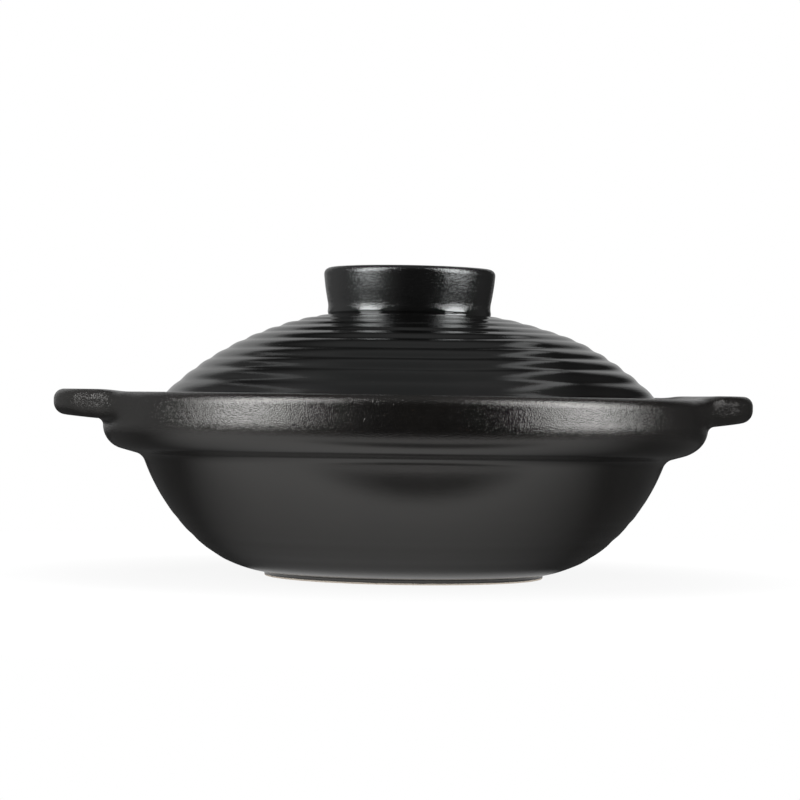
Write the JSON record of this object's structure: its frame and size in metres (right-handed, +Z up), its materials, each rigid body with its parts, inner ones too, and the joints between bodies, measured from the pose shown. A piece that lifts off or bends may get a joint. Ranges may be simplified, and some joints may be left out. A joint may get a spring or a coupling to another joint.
{
  "type": "donabe clay pot",
  "caption": "Wide clay cooking pot with a collar, two side lugs and a ribbed domed lid that lifts off by a ring knob.",
  "frame": {"origin": "under the middle of the foot, on the surface the pot stands on", "axes": "+X through the lugs, the longest extent; +Z up, the pot's round axis; the lid's steam vent at +Y"},
  "size_m": [0.31, 0.267, 0.1362],
  "materials": {
    "pot_glaze": "satin black glaze with a fine grain, bare clay under the foot",
    "lid_glaze": "smooth black glaze, glossier than the pot"
  },
  "bodies": {
    "pot": {"pot_body": "pot_glaze"},
    "lid": {"lid": "lid_glaze"}
  },
  "joints": [
    {"name": "lid_lift", "type": "slide", "parent": "pot", "child": "lid", "axis": [0, 0, 1], "range_m": [0, 0.15]}
  ]
}
